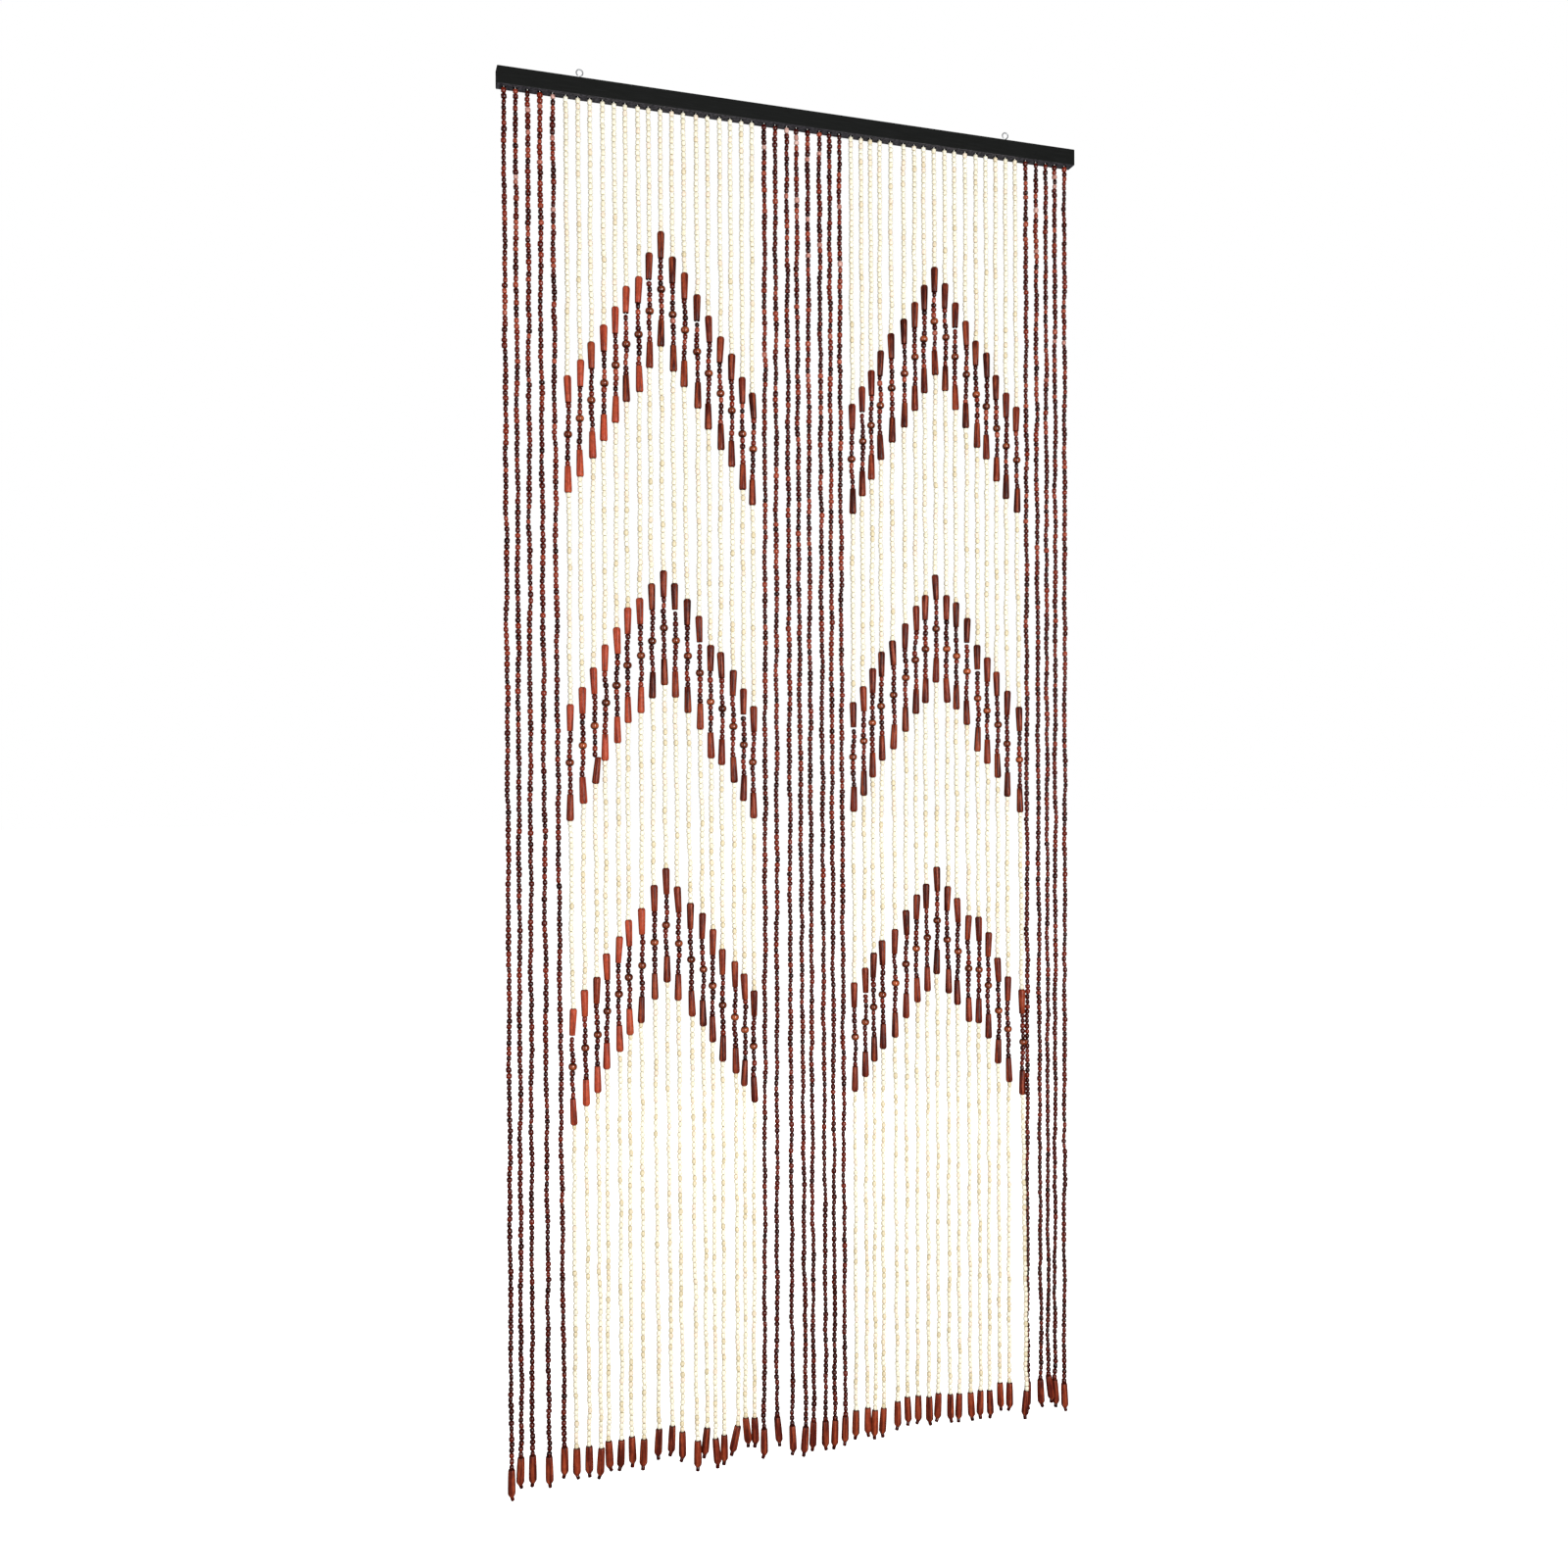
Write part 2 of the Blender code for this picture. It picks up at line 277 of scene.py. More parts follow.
# Each chevron falls away from the middle string of its section by a step for each string.
Chevron = namedtuple("Chevron", "section peak_mm left_step_mm right_step_mm")
CHEVRONS = [
    Chevron("left_cream", 203, 27.0, 28.0),
    Chevron("left_cream", 682, 25.0, 25.0),
    Chevron("left_cream", 1123, 24.0, 22.5),
    Chevron("right_cream", 205, 28.0, 26.0),
    Chevron("right_cream", 682, 24.0, 24.5),
    Chevron("right_cream", 1130, 21.5, 24.0),
]

# The strings that hang most unevenly: how far the hole is out of line, how far the string
# drifts sideways by its hem, how much deeper it ends than its section does, how its last
# barrel leans, and how far the hem stands forward. Right and down are positive.
Stray = namedtuple("Stray", "hole_mm drift_mm hem_mm lean_deg forward_mm")
STRAYS = {
    0: Stray(0, -1, 15, 0, 0),
    1: Stray(-1, -3, 0, -2, 0),
    2: Stray(-1, -5, 0, 0, 0),
    4: Stray(0, 6, -5, 0, 0),
    5: Stray(0, 4, 0, 0, 0),
    6: Stray(0, 6, 0, 0, 0),
    7: Stray(0, 6, 5, -3, 0),
    12: Stray(-1, 6, -10, -3, 0),
    13: Stray(-1, 8, -12, -3, 0),
    14: Stray(-1, 7, 0, 0, -1),
    15: Stray(-1, 11, 15, 0, 1),
    16: Stray(1, 8, 0, -6, -2),
    17: Stray(1, 2, 15, 5, 3),
    18: Stray(2, -2, 15, 0, -3),
    19: Stray(1, 4, 5, -13, -5),
    20: Stray(1, -5, -10, 6, 6),
    21: Stray(0, -6, -5, 2, -1),
    22: Stray(0, -10, 0, 0, 1),
    23: Stray(0, -7, -15, 5, 0),
    25: Stray(-1, 6, 7, -4, 0),
    32: Stray(-3, 0, 8, -2, 0),
    33: Stray(-5, -2, 6, -4, 1),
    34: Stray(-4, 3, 0, 0, 0),
    46: Stray(0, 10, 11, -5, 6),
    47: Stray(0, -1, 0, -2, -6),
    49: Stray(1, -2, -7, 8, -1),
    50: Stray(0, -4, 4, 4, -6),
    51: Stray(0, -11, 6, 2, 6),
}

# The chevron motifs that hang furthest out of their row: how much deeper each one hangs, by
# its string and by its chevron from the rail down.
ODD_MOTIFS = {
    (11, 0): 12,
    (8, 1): -9,
    (9, 1): -9,
    (10, 1): -13,
    (13, 1): 7,
    (17, 1): 13,
    (40, 1): -11,
    (41, 1): -12,
    (42, 2): -19,
    (43, 2): -18,
}

# How far the other strings wander, either way
HOLE_WANDER = 1.2
DRIFT_WANDER = 1.8
HEM_WANDER = 5.0
LEAN_WANDER = 3.0
FORWARD_WANDER = 1.0
CHEVRON_WANDER = 5.0
HEM = 1991.0
SWAY_POWER = 1.6
SEED = 11

String = namedtuple("String", "number hole drift hem lean forward chevrons")


def hang_strings():
    """Every string of the curtain, from left to right, as the tables and the seed give it."""
    draw = random.Random(SEED)
    strings = {}
    number = 0
    for section in SECTIONS:
        pitch = (section.last_mm - section.first_mm) / (section.strings - 1)
        middle = (section.strings - 1) / 2
        strings[section.name] = []
        for place in range(section.strings):
            stray = Stray(
                draw.uniform(-HOLE_WANDER, HOLE_WANDER),
                draw.uniform(-DRIFT_WANDER, DRIFT_WANDER),
                draw.uniform(-HEM_WANDER, HEM_WANDER),
                draw.uniform(-LEAN_WANDER, LEAN_WANDER),
                draw.uniform(-FORWARD_WANDER, FORWARD_WANDER),
            )
            stray = STRAYS.get(number, stray)
            chevrons = []
            for chevron in CHEVRONS:
                if chevron.section == section.name:
                    away = place - middle
                    step = chevron.left_step_mm if away < 0 else chevron.right_step_mm
                    wander = draw.uniform(-CHEVRON_WANDER, CHEVRON_WANDER)
                    slip = ODD_MOTIFS.get((number, len(chevrons)), wander)
                    chevrons.append(chevron.peak_mm + abs(away) * step + slip)
            strings[section.name].append(
                String(
                    number,
                    section.first_mm + place * pitch + stray.hole_mm,
                    stray.drift_mm,
                    section.hem_mm + stray.hem_mm,
                    math.radians(stray.lean_deg),
                    stray.forward_mm,
                    chevrons,
                )
            )
            number += 1
    return strings


def strip_ends():
    """Where each section's strip starts and ends in the groove, in metres."""
    joins = [(left.last_mm + right.first_mm) / 2 * MM for left, right in zip(SECTIONS, SECTIONS[1:])]
    starts = [-GROOVE_END + CLEARANCE] + [join + CLEARANCE / 2 for join in joins]
    ends = [join - CLEARANCE / 2 for join in joins] + [GROOVE_END - CLEARANCE]
    return list(zip(starts, ends))


def strip_paint():
    """The rail's underside again, painted paler for the floor's light, and painted near black inside the
    holes for their shade.
    """
    finish, shader = new_finish("underside_paint_painted_light_and_shade")
    place = node(finish, "TexCoord", {}).outputs["Object"]
    mottle = speckle(finish, place, 260, 5)
    height = node(finish, "SeparateXYZ", {"Vector": place}).outputs["Z"]
    # Painted shade: the walls just inside each hole turn near black, for the shade within the hole.
    inside = between(finish, height, RAIL_BOTTOM + 0.0001, RAIL_BOTTOM + 0.0016)
    # Painted light: the strip's face gets the rail's paler underside grey, for the light thrown up by the
    # floor.
    painted_underside_light = blend(finish, between(finish, mottle, 0.38, 0.62), look(50, 49, 53), look(78, 76, 82))
    colour = blend(finish, inside, painted_underside_light, look(6, 6, 6))
    feed(finish, shader, {"Base Color": colour, "Specular IOR Level": 0.1})
    feed(finish, shader, {"Roughness": between(finish, mottle, -0.6, 1.2)})
    feed(finish, shader, {"Normal": relief(finish, mottle, 0.3, 0.0003)})
    return finish


def drilled_strip(section, start, end, holes):
    """A strip that fills the groove, with a round hole for every string."""
    bpy.ops.object.select_all(action="DESELECT")
    height = GROOVE_DEPTH - CLEARANCE
    bpy.ops.mesh.primitive_cube_add(
        size=1,
        location=((start + end) / 2, 0, RAIL_BOTTOM + height / 2),
        scale=(end - start, GROOVE_WIDTH - 2 * CLEARANCE, height),
    )
    strip = bpy.context.object
    strip.name = section + "_strip"
    apply_all(strip)
    drills = []
    for x in holes:
        bpy.ops.mesh.primitive_cone_add(
            vertices=HOLE_SIDES,
            radius1=HOLE_RADIUS * (1 + HOLE_TAPER),
            radius2=HOLE_RADIUS * (1 - HOLE_TAPER),
            depth=2 * HOLE_DEPTH,
            location=(x * MM, 0, RAIL_BOTTOM),
        )
        drills.append(bpy.context.object)
    only(drills[0])
    for drill in drills:
        drill.select_set(True)
    bpy.ops.object.join()
    cutter = bpy.context.object
    cut = strip.modifiers.new("holes", "BOOLEAN")
    cut.operation = "DIFFERENCE"
    cut.object = cutter
    apply_all(strip)
    bpy.data.objects.remove(cutter)
    smooth(strip, 40)
    return strip


strings = hang_strings()
strip_finish = strip_paint()
for section, (start, end) in zip(SECTIONS, strip_ends()):
    strip = drilled_strip(section.name, start, end, [string.hole for string in strings[section.name]])
    strip.data.materials.clear()
    strip.data.materials.append(strip_finish)
    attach(strip, "root")
    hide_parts(section.name + "_strings")

# Each string is a white cotton cord, knotted inside its hole and threaded through all of its
# beads. This section works out where every bead of the curtain hangs, one below the other.
FIRST_BEAD = 25.8
PITCH = {"cream": 7.95, "dark": 7.85}
SIZE_SPREAD = {"cream": 0.07, "dark": 0.16}
KINK = {"cream": 0.45, "dark": 0.75}
LOOSER_AT_HEM = 0.8
WAVES = ((0.55, 33.0, 2.4), (0.35, 12.5, 5.5))
WAVE_FADE = 250.0
WAVE_TWIST = 1.3
SLIP = 0.8
SLACK = 2.4
SLACK_CHANCE = 0.12
BARREL = 38.5
DARK_RUN = 39.0
BALL = 11.0
HEM_BARREL = 39.5
HEM_DROP = 45.2
STOPPER = 6.6
TUCK = 1.0
STOPPER_TUCK = 1.4
STOPPER_TILT = math.radians(26)
CORD_RADIUS = 0.00065
KNOT_DEPTH = 21.4

# The one lower barrel that leans, by its string and its chevron, and how far its neck is out
LEANING_BARREL = (7, 1)
LEANING_BY = Vector((4.2, -1.5, 0))

Bead = namedtuple("Bead", "kind number top bottom")


def place_at(string, depth):
    """The string's centre at a depth below the rail's top, in millimetres.

    The slow waves are what the string keeps from being folded in its box.
    """
    sway = (depth / HEM) ** SWAY_POWER
    place = Vector((string.hole + string.drift * sway, -string.forward * sway, -depth))
    fade = min(1.0, depth / WAVE_FADE)
    for height, length, phase in WAVES:
        turn = depth / length + phase * string.number
        place += fade * height * Vector((math.sin(turn), math.cos(WAVE_TWIST * turn), 0))
    return place


def near(draw, string, depth, slip=SLIP):
    """A place on the string, slipped a little aside."""
    return place_at(string, depth) + Vector((draw.uniform(-slip, slip), draw.uniform(-slip, slip) / 2, 0))


def small_beads(draw, string, kind, first, last):
    """A run of small beads between two places, each longer or shorter and out of line."""
    start, end = -first.z, -last.z
    count = round((end - start) / PITCH[kind])
    spread = SIZE_SPREAD[kind]
    shares = [draw.uniform(1 - spread, 1 + spread) for _ in range(count)]
    slip_first = first - place_at(string, start)
    slip_last = last - place_at(string, end)
    points = [first]
    for place in range(1, count):
        share = sum(shares[:place]) / sum(shares)
        kink = Vector((draw.uniform(-1, 1), draw.uniform(-1, 1), 0)) * KINK[kind]
        kink *= 1 + LOOSER_AT_HEM * start / HEM
        place_there = place_at(string, start + (end - start) * share)
        points.append(place_there + slip_first.lerp(slip_last, share) + kink)
    points.append(last)
    return [Bead(kind, string.number, top, bottom) for top, bottom in zip(points, points[1:])]


def chevron_beads(draw, string, order):
    """A barrel, dark beads, a ball, dark beads and a barrel the other way up."""
    top = string.chevrons[order]
    ball = top + BARREL + DARK_RUN
    lower = ball + BALL + DARK_RUN
    depths = (top, top + BARREL, ball, ball + BALL, lower, lower + BARREL)
    head, foot, over, under, neck, end = [near(draw, string, depth) for depth in depths]
    tuck = Vector((0, 0, TUCK / 2))
    slack = Vector((0, 0, SLACK)) if draw.random() < SLACK_CHANCE else -tuck
    beads = [Bead("barrel", string.number, head, foot)]
    beads += small_beads(draw, string, "dark", foot - slack, over - tuck)
    beads.append(Bead("ball", string.number, over, under))
    beads += small_beads(draw, string, "dark", under + tuck, neck - tuck)
    if (string.number, order) == LEANING_BARREL:
        neck = neck + LEANING_BY
    beads.append(Bead("barrel", string.number, end, neck))
    return beads


def thread_string(draw, string, plain):
    """All the beads of a string from the rail down to its stopper."""
    beads = []
    tuck = Vector((0, 0, TUCK))
    start = place_at(string, FIRST_BEAD)
    for order in range(len(string.chevrons)):
        chevron = chevron_beads(draw, string, order)
        beads += small_beads(draw, string, plain, start, chevron[0].top - tuck)
        beads += chevron
        start = chevron[-1].top + tuck
    head = place_at(string, string.hem - HEM_DROP)
    beads += small_beads(draw, string, plain, start, head - tuck)
    foot = head + HEM_BARREL * Vector((math.sin(string.lean), 0, -math.cos(string.lean)))
    beads.append(Bead("hem_barrel", string.number, head, foot))
    tilt = string.lean + draw.uniform(-STOPPER_TILT, STOPPER_TILT)
    nod = draw.uniform(-STOPPER_TILT, STOPPER_TILT) / 2
    begin = foot + (head - foot).normalized() * STOPPER_TUCK
    end = begin + STOPPER * Vector((math.sin(tilt), math.sin(nod), -math.cos(tilt)))
    beads.append(Bead("stopper", string.number, begin, end))
    return beads


def cotton():
    finish, shader = new_finish("white_cotton_cord")
    place = node(finish, "TexCoord", {}).outputs["Object"]
    twist = node(finish, "TexWave", {"Vector": place, "Scale": 260, "Distortion": 1.5}).outputs["Fac"]
    colour = blend(finish, twist, look(236, 233, 224), look(250, 249, 245))
    feed(finish, shader, {"Base Color": colour, "Roughness": 0.85, "Specular IOR Level": 0.2})
    feed(finish, shader, {"Normal": relief(finish, twist, 0.3, 0.0001)})
    return finish


def cord_through(string, beads):
    """The cord from its knot in the rail to the end of the stopper, as a line of points."""
    points = [place_at(string, KNOT_DEPTH), beads[0].top]
    for bead in beads:
        points += sorted((bead.top, bead.bottom), key=lambda point: -point.z)
    return points


def cord_pieces(section, paths):
    """The cords of a section, drawn as edges from point to point and given their thickness."""
    bpy.ops.object.select_all(action="DESELECT")
    bpy.ops.curve.primitive_nurbs_path_add()
    cords = bpy.context.object
    cords.name = section + "_cords"
    cords.data.splines.clear()
    for path in paths:
        line = cords.data.splines.new("POLY")
        line.points.add(len(path) - 1)
        for point, (x, y, z) in zip(line.points, path):
            point.co = (x * MM, y * MM, RAIL_TOP + z * MM, 1)
    cords.data.bevel_depth = CORD_RADIUS
    cords.data.bevel_resolution = 0
    cords.data.use_fill_caps = True
    only(cords)
    bpy.ops.object.convert(target="MESH")
    bpy.ops.object.shade_smooth()
    return cords


threading = random.Random(SEED + 1)
beads = {}
cord_finish = cotton()
for section in SECTIONS:
    beads[section.name] = []
    paths = []
    for string in strings[section.name]:
        on_string = thread_string(threading, string, section.beads)
        beads[section.name] += on_string
        paths.append(cord_through(string, on_string))
    cords = cord_pieces(section.name, paths)
    cords.data.materials.clear()
    cords.data.materials.append(cord_finish)
    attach(cords, "root")
    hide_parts(section.name + "_strings")

# The small beads are turned from pale wood and left in its natural colour, nearly white, with
# a satin finish. They are short cylinders with rounded ends, about 7 mm across and 8 mm long.
CREAM_SIDES = 8
CREAM_PROFILE = [(-3.85, 1.6), (-2.4, 3.4), (2.4, 3.4), (3.85, 1.6)]
TANNED_AT_HEM = 0.25
MOSTLY_PALE = 1.4
ON_AXIS = 0.01
CELL_EDGE = 0.06
GRAIN_SPREAD = 900


def turned(name, sides, profile):
    """A turned bead: a round end drawn out ring by ring, by its heights and radii."""
    bpy.ops.object.select_all(action="DESELECT")
    rings = [(height * MM, radius * MM) for height, radius in profile]
    bpy.ops.mesh.primitive_circle_add(vertices=sides, radius=rings[0][1], fill_type="TRIFAN")
    bead = bpy.context.object
    bead.name = name
    bead.location.z = rings[0][0]
    apply_all(bead)
    bpy.ops.object.mode_set(mode="EDIT")
    bpy.ops.mesh.select_all(action="SELECT")
    for (height, radius), (next_height, next_radius) in zip(rings, rings[1:]):
        rise = (0, 0, next_height - height)
        wider = next_radius / radius
        bpy.ops.mesh.extrude_region_move(TRANSFORM_OT_translate={"value": rise})
        bpy.ops.transform.resize(value=(wider, wider, 1), center_override=(0, 0, next_height))
    bpy.ops.mesh.select_all(action="SELECT")
    bpy.ops.mesh.normals_make_consistent(inside=False)
    bpy.ops.object.mode_set(mode="OBJECT")
    return bead


def unrolled(bead, profile):
    """Each corner's place on the bead's skin, unrolled to a square: round it and along it."""
    corners = []
    for face in bead.data.polygons:
        points = [bead.data.vertices[number].co / MM for number in face.vertices]
        middle = sum((Vector((p.x, p.y)) for p in points), Vector((0, 0)))
        facing = math.atan2(middle.y, middle.x)
        for point in points:
            radius = math.hypot(point.x, point.y)
            if radius < ON_AXIS:
                foot = abs(point.z - profile[0][0]) < abs(point.z - profile[-1][0])
                ring = -1 if foot else len(profile)
                turn = 0
            else:
                misses = [abs(point.z - height) + abs(radius - wide) for height, wide in profile]
                ring = misses.index(min(misses))
                turn = math.remainder(math.atan2(point.y, point.x) - facing, math.tau)
            corners.append((0.5 + (facing + turn) / math.tau, (ring + 1) / (len(profile) + 1)))
    return np.array(corners)


def profile_length(profile):
    heights = [height for height, _ in profile]
    return max(heights) - min(heights)


def thread_on(name, bead, profile, places, tones, draw, plump):
    """One piece with a copy of a modelled bead between the top and bottom of every place.

    Each copy is turned about its string and made thicker or thinner by chance, and keeps its
    own tone, its own place in the wood's grain and its own cell of the piece's map.
    """
    shape = np.array([point.co for point in bead.data.vertices]) / MM
    faces = [tuple(face.vertices) for face in bead.data.polygons]
    length = profile_length(profile)
    count = len(places)
    tops = np.array([place.top for place in places])
    bottoms = np.array([place.bottom for place in places])
    axis = tops - bottoms
    reach = np.linalg.norm(axis, axis=1)
    up = axis / reach[:, None]
    side = np.cross(np.broadcast_to((0.0, 1.0, 0.0), up.shape), up)
    side /= np.linalg.norm(side, axis=1)[:, None]
    front = np.cross(up, side)
    turns = np.array([draw.uniform(0, math.tau) for _ in places])
    girths = np.array([draw.uniform(1 - plump, 1 + plump) for _ in places])
    across = side * np.cos(turns)[:, None] + front * np.sin(turns)[:, None]
    around = np.cross(up, across)
    points = (
        ((tops + bottoms) / 2)[:, None, :]
        + (girths[:, None] * shape[:, 0])[:, :, None] * across[:, None, :]
        + (girths[:, None] * shape[:, 1])[:, :, None] * around[:, None, :]
        + ((reach / length)[:, None] * shape[:, 2])[:, :, None] * up[:, None, :]
    ) * MM
    points[:, :, 2] += RAIL_TOP
    mesh = bpy.data.meshes.new(name)
    step = len(shape)
    threaded = [tuple(corner + step * copy for corner in face) for copy in range(count) for face in faces]
    mesh.from_pydata(points.reshape(-1, 3).tolist(), [], threaded)

    starts = np.array([[draw.uniform(0, GRAIN_SPREAD) for _ in range(3)] for _ in places])
    grain = starts[:, None, :] + shape
    along = np.broadcast_to(shape[:, 2] / (length / 2), (count, step))
    mesh.attributes.new("grain", "FLOAT_VECTOR", "POINT").data.foreach_set("vector", grain.ravel())
    mesh.attributes.new("along", "FLOAT", "POINT").data.foreach_set("value", along.ravel())
    tone = np.repeat(np.array(tones), step)
    mesh.attributes.new("tone", "FLOAT", "POINT").data.foreach_set("value", tone)

    square = unrolled(bead, profile)
    cells = math.ceil(math.sqrt(count))
    columns = np.arange(count) % cells
    rows = np.arange(count) // cells
    corner = np.stack([columns, rows], axis=1)[:, None, :]
    spots = (corner + CELL_EDGE + (1 - 2 * CELL_EDGE) * square[None, :, :]) / cells
    mesh.uv_layers.new(name="OFBake").data.foreach_set("uv", spots.ravel())

    piece = bpy.data.objects.new(name, mesh)
    bpy.context.scene.collection.objects.link(piece)
    return piece


def hang(piece, section, finish):
    piece.data.materials.clear()
    piece.data.materials.append(finish)
    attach(piece, "root")
    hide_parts(section + "_strings")


def turned_wood(name, stain, streak, rim, gloss, rough, figure=0.0, ends=0.82):
    """Wood whose stain follows each bead's tone, with streaks along its grain and dark ends.

    The figure is how strongly broad dark and pale bands of the grain show, and the ends say
    how far from a bead's middle its dark ends start. The dark ends are painted shade where the
    beads meet and round their holes, with a little dirt; the rim colour gives both them and the
    dark of the figure and mottle.
    """
    finish, shader = new_finish(name)
    tone = node(finish, "Attribute", {}, attribute_name="tone").outputs["Fac"]
    along = node(finish, "Attribute", {}, attribute_name="along").outputs["Fac"]
    grain = node(finish, "Attribute", {}, attribute_name="grain").outputs["Vector"]
    band = node(finish, "ValToRGB", {"Fac": tone})
    edges = band.color_ramp.elements
    while len(edges) < len(stain):
        edges.new(0.5)
    for edge, (at, colour) in zip(edges, stain):
        edge.position = at
        edge.color = (*colour, 1)
    fibres = speckle(finish, grain, 0.8, 4, (1, 1, 0.08))
    cloud = speckle(finish, grain, 0.22, 2)
    bands = speckle(finish, grain, 0.3, 1, (1, 1, 0.06))
    colour = blend(finish, between(finish, fibres, 0.5, 0.78), band.outputs["Color"], streak)
    for tint, low, high in ((rim, 0.5, 0.66), (streak, 0.5, 0.36)):
        amount = between(finish, bands, low, high)
        amount = node(finish, "Math", {0: amount, 1: figure}, operation="MULTIPLY").outputs[0]
        colour = blend(finish, amount, colour, tint)
    shade = node(finish, "Math", {0: between(finish, cloud, 0.3, 0.75), 1: 0.35}, operation="MULTIPLY")
    colour = blend(finish, shade.outputs[0], colour, rim)
    # Painted shade: each bead darkens to the rim colour towards its ends, where beads meet and the holes
    # open.
    edge = node(finish, "Math", {0: along}, operation="ABSOLUTE").outputs[0]
    colour = blend(finish, between(finish, edge, ends, 1.02), colour, rim)
    feed(finish, shader, {"Base Color": colour, "Specular IOR Level": gloss, "Roughness": rough})
    feed(finish, shader, {"Normal": relief(finish, fibres, 0.3, 0.0002)})
    return finish


def of_kind(section, kind):
    return [bead for bead in beads[section.name] if bead.kind == kind]


chance = random.Random(SEED + 2)
natural = turned_wood(
    "natural_pale_wood",
    [
        (0.0, look(253, 249, 232)),
        (0.7, look(247, 240, 218)),
        (0.9, look(250, 232, 214)),
        (1.0, look(226, 212, 180)),
    ],
    streak=look(240, 228, 196),
    # The olive rim colour is painted shade in the joints between the beads.
    rim=look(164, 149, 100),
    gloss=0.3,
    rough=0.45,
    ends=0.84,
)
cream_bead = turned("cream_bead", CREAM_SIDES, CREAM_PROFILE)
for section in SECTIONS:
    places = of_kind(section, "cream")
    if places:
        tones = [chance.random() ** MOSTLY_PALE - TANNED_AT_HEM * bead.top.z / HEM for bead in places]
        name = section.name + "_natural_beads"
        piece = thread_on(name, cream_bead, CREAM_PROFILE, places, tones, chance, 0.05)
        piece.data.shade_smooth()
        hang(piece, section.name, natural)
bpy.data.objects.remove(cream_bead)

# The dark beads are the same size, turned more like olives, stained maroon and dipped in gloss
# lacquer. They fill the dark strings, and hang between the barrels of each chevron.
OLIVE_SIDES = 8
OLIVE_PROFILE = [(-3.85, 1.7), (-2.0, 3.65), (2.0, 3.65), (3.85, 1.7)]
DARKER_AT_HEM = 0.45

maroon = turned_wood(
    "maroon_lacquered_wood",
    [
        (0.0, look(32, 3, 2)),
        (0.45, look(72, 13, 8)),
        (0.75, look(132, 41, 21)),
        (0.9, look(170, 78, 54)),
        # Painted highlight: the palest, pinkish white stop puts a painted glint on the few beads whose tone
        # reaches it.
        (1.0, look(244, 208, 196)),
    ],
    streak=look(146, 50, 25),
    # The near black rim colour is painted shade at each bead's ends.
    rim=look(22, 1, 0),
    gloss=0.45,
    rough=0.22,
)
olive = turned("olive_bead", OLIVE_SIDES, OLIVE_PROFILE)
for section in SECTIONS:
    places = of_kind(section, "dark")
    # Tones run darker towards the hem, so the painted glints grow fewer there.
    tones = [chance.random() * (1 + DARKER_AT_HEM * bead.top.z / HEM) for bead in places]
    piece = thread_on(section.name + "_maroon_beads", olive, OLIVE_PROFILE, places, tones, chance, 0.15)
    piece.data.shade_smooth()
    hang(piece, section.name, maroon)
bpy.data.objects.remove(olive)

# The barrels of the chevrons are turned from a coarser wood with its grain showing, 38 mm long.
# The thick end is domed and the thin end cut flat, and the upper one hangs thick end up and
# the lower one thick end down. Brick red ones were strung at the left, and brown ones elsewhere.
BARREL_SIDES = 14
BARREL_PROFILE = [
    (-17.3, 1.3),
    (-19.25, 1.6),
    (-19.25, 3.9),
    (-18.7, 4.4),
    (-6.0, 4.85),
    (10.0, 5.35),
    (16.2, 5.45),
    (18.3, 4.6),
    (19.25, 3.1),
    (19.25, 1.6),
    (17.3, 1.3),
]
BRICK_STRINGS = range(5, 12)
BRICK_SHARE = 0.88

stained = turned_wood(
    "red_brown_stained_wood",
    [
        (0.0, look(66, 20, 14)),
        (0.35, look(100, 32, 22)),
        (0.65, look(134, 50, 28)),
        (0.8, look(162, 60, 40)),
        (1.0, look(198, 82, 54)),
    ],
    streak=look(170, 78, 46),
    # The rim colour is the dark of the figure and mottle, and painted shade at each barrel's ends.
    rim=look(38, 8, 4),
    gloss=0.16,
    rough=0.35,
    figure=0.6,
    ends=0.92,
)


def stain_of(bead):
    if bead.number in BRICK_STRINGS and chance.random() < BRICK_SHARE:
        return chance.uniform(0.82, 0.96)
    return chance.uniform(0.0, 0.56)


barrel = turned("barrel", BARREL_SIDES, BARREL_PROFILE)
for section in SECTIONS:
    places = of_kind(section, "barrel")
    if places:
        tones = [stain_of(bead) for bead in places]
        piece = thread_on(section.name + "_barrels", barrel, BARREL_PROFILE, places, tones, chance, 0.03)
        smooth(piece, 50)
        hang(piece, section.name, stained)
bpy.data.objects.remove(barrel)

# A ball sits in the middle of each chevron motif, turned from the same wood, drilled through
# and dipped in a thicker, glossier lacquer.
BALL_SIDES = 16
BALL_RADIUS = 6.2
BALL_RINGS = 8
BALL_EYE = math.radians(20)
BALL_HOLE_DEPTH = 2
BALL_HOLE_SHARE = 0.8


def ball_profile():
    """A globe cut off at both ends by its hole."""
    rings = []
    for step in range(BALL_RINGS + 1):
        angle = BALL_EYE + (math.pi - 2 * BALL_EYE) * step / BALL_RINGS
        rings.append((-BALL_RADIUS * math.cos(angle), BALL_RADIUS * math.sin(angle)))
    bottom, rim = rings[0]
    hole = rim * BALL_HOLE_SHARE
    return [(bottom + BALL_HOLE_DEPTH, hole)] + rings + [(-bottom - BALL_HOLE_DEPTH, hole)]


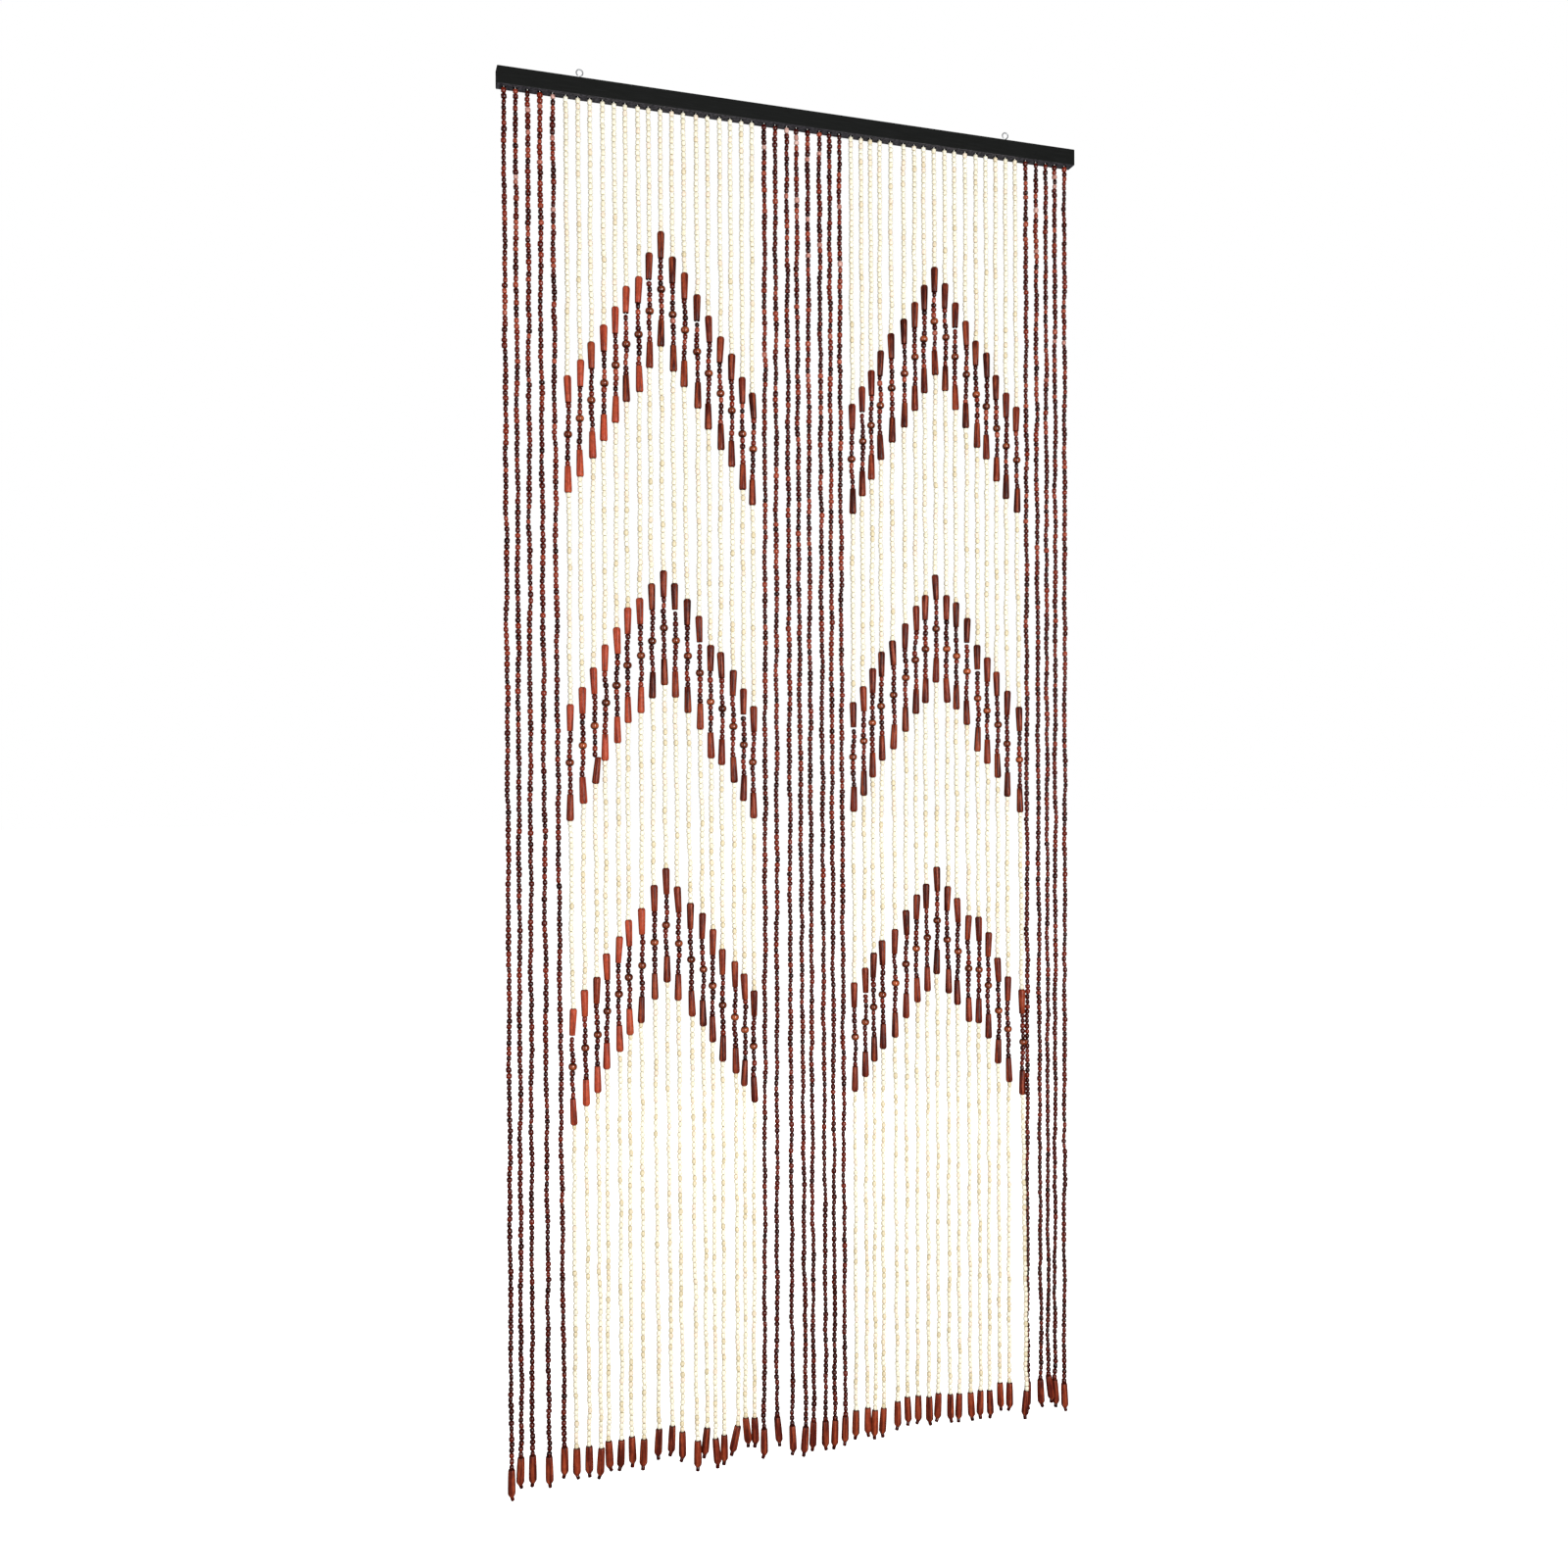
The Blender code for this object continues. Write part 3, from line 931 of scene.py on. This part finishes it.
glossy = turned_wood(
    "glossy_brown_wood",
    [(0.0, look(74, 24, 13)), (0.5, look(120, 48, 25)), (1.0, look(176, 84, 46))],
    streak=look(196, 106, 60),
    # With ends this low the rim colour spreads from near each ball's middle to its holes: painted shade
    # over its top and bottom.
    rim=look(24, 3, 2),
    gloss=0.7,
    rough=0.2,
    figure=0.3,
    ends=0.2,
)
ball = turned("ball", BALL_SIDES, ball_profile())
for section in SECTIONS:
    places = of_kind(section, "ball")
    if places:
        tones = [chance.random() for _ in places]
        piece = thread_on(section.name + "_balls", ball, ball_profile(), places, tones, chance, 0.03)
        smooth(piece, 50)
        hang(piece, section.name, glossy)
bpy.data.objects.remove(ball)

# At the hem each string ends in one more barrel, thin end up, whose foot is cut to a cone.
# It is held by a stopper, a short length of dark wooden tube that the cord is glued into.
HEM_SIDES = 14
HEM_PROFILE = [
    (-16.5, 1.2),
    (-19.75, 1.5),
    (-19.75, 2.6),
    (-15.9, 5.2),
    (-14.4, 5.65),
    (-8.0, 5.7),
    (6.0, 5.45),
    (17.6, 5.0),
    (19.2, 4.5),
    (19.75, 3.4),
    (19.75, 1.6),
    (17.3, 1.3),
]
STOPPER_SIDES = 12
STOPPER_PROFILE = [
    (-2.2, 0.8),
    (-3.3, 1.1),
    (-3.3, 2.4),
    (-2.7, 2.8),
    (2.7, 2.8),
    (3.3, 2.4),
    (3.3, 1.1),
    (2.2, 0.8),
]

hem_barrel = turned("hem_barrel", HEM_SIDES, HEM_PROFILE)
stopper = turned("stopper", STOPPER_SIDES, STOPPER_PROFILE)
for section in SECTIONS:
    places = of_kind(section, "hem_barrel")
    tones = [chance.uniform(0.2, 0.7) for _ in places]
    piece = thread_on(section.name + "_hem_barrels", hem_barrel, HEM_PROFILE, places, tones, chance, 0.03)
    smooth(piece, 50)
    hang(piece, section.name, stained)
    places = of_kind(section, "stopper")
    tones = [chance.uniform(0.0, 0.25) for _ in places]
    piece = thread_on(section.name + "_stoppers", stopper, STOPPER_PROFILE, places, tones, chance, 0.05)
    smooth(piece, 50)
    hang(piece, section.name, maroon)
bpy.data.objects.remove(hem_barrel)
bpy.data.objects.remove(stopper)

# The studio: a white floor just under the hem, a soft light in front on the right, weaker ones
# on the left and behind, and the camera at the photograph's place.
FLOOR = -2.06
FLOOR_SIZE = 60
CAMERA = (-0.68366, -2.00586, -0.99368)
HEADING = math.radians(17.936)
TILT = math.radians(-0.412)
ROLL = math.radians(-0.280)
LENS = 32.58


def pale_floor():
    bpy.ops.object.select_all(action="DESELECT")
    bpy.ops.mesh.primitive_plane_add(size=FLOOR_SIZE, location=(0, 0, FLOOR))
    floor = bpy.context.object
    floor.name = "floor"
    apply_all(floor)
    finish, shader = new_finish("white_floor")
    feed(finish, shader, {"Base Color": (0.9, 0.9, 0.9, 1), "Roughness": 0.7})
    feed(finish, shader, {"Emission Color": (1, 1, 1, 1), "Emission Strength": 0.9})
    floor.data.materials.append(finish)
    floor.visible_diffuse = False
    floor.visible_glossy = False


def soft_light(name, power, width, height, place, target):
    """A flat lamp that shines from a place towards a target, and that no camera sees."""
    bpy.ops.object.light_add(type="AREA", location=place)
    light = bpy.context.object
    light.name = name
    light.data.energy = power
    light.data.shape = "RECTANGLE"
    light.data.size = width
    light.data.size_y = height
    light.rotation_euler = (Vector(target) - Vector(place)).to_track_quat("-Z", "Y").to_euler()
    light.visible_camera = False
    return light


def white_world():
    """White behind the curtain, a weaker light all round it, and a dark room in its gloss."""
    world = bpy.data.worlds.new("white_surround")
    bpy.context.scene.world = world
    world.use_nodes = True
    tree = world.node_tree
    seen = tree.nodes.new("ShaderNodeBackground")
    felt = tree.nodes["Background"]
    seen.inputs["Color"].default_value = (1, 1, 1, 1)
    seen.inputs["Strength"].default_value = 1.0
    felt.inputs["Color"].default_value = (1, 1, 1, 1)
    felt.inputs["Strength"].default_value = 0.3
    mirrored = tree.nodes.new("ShaderNodeBackground")
    mirrored.inputs["Strength"].default_value = 0.03
    path = tree.nodes.new("ShaderNodeLightPath")
    lit = felt
    for ray, other in (("Is Glossy Ray", mirrored), ("Is Camera Ray", seen)):
        choice = tree.nodes.new("ShaderNodeMixShader")
        tree.links.new(path.outputs[ray], choice.inputs[0])
        tree.links.new(lit.outputs[0], choice.inputs[1])
        tree.links.new(other.outputs[0], choice.inputs[2])
        lit = choice
    tree.links.new(lit.outputs[0], tree.nodes["World Output"].inputs["Surface"])


def photograph_camera():
    bpy.ops.object.camera_add()
    camera = bpy.context.object
    turn = Matrix.Rotation(-HEADING, 4, "Z") @ Matrix.Rotation(math.pi / 2 + TILT, 4, "X")
    camera.matrix_world = Matrix.Translation(CAMERA) @ turn @ Matrix.Rotation(ROLL, 4, "Z")
    camera.data.lens = LENS
    camera.data.sensor_width = 36
    bpy.context.scene.camera = camera


pale_floor()
white_world()
soft_light("front_light", 90, 0.7, 1.8, (0.3, -2.7, -0.9), (0, 0, -1.0))
soft_light("left_light", 14, 1.0, 2.0, (-2.4, -1.6, -0.9), (0, 0, -1.0))
back_light = soft_light("back_light", 40, 0.9, 1.8, (0.8, 2.6, -0.9), (0, 0, -1.0))
back_light.visible_glossy = False
photograph_camera()
bpy.context.scene.view_settings.view_transform = "Standard"
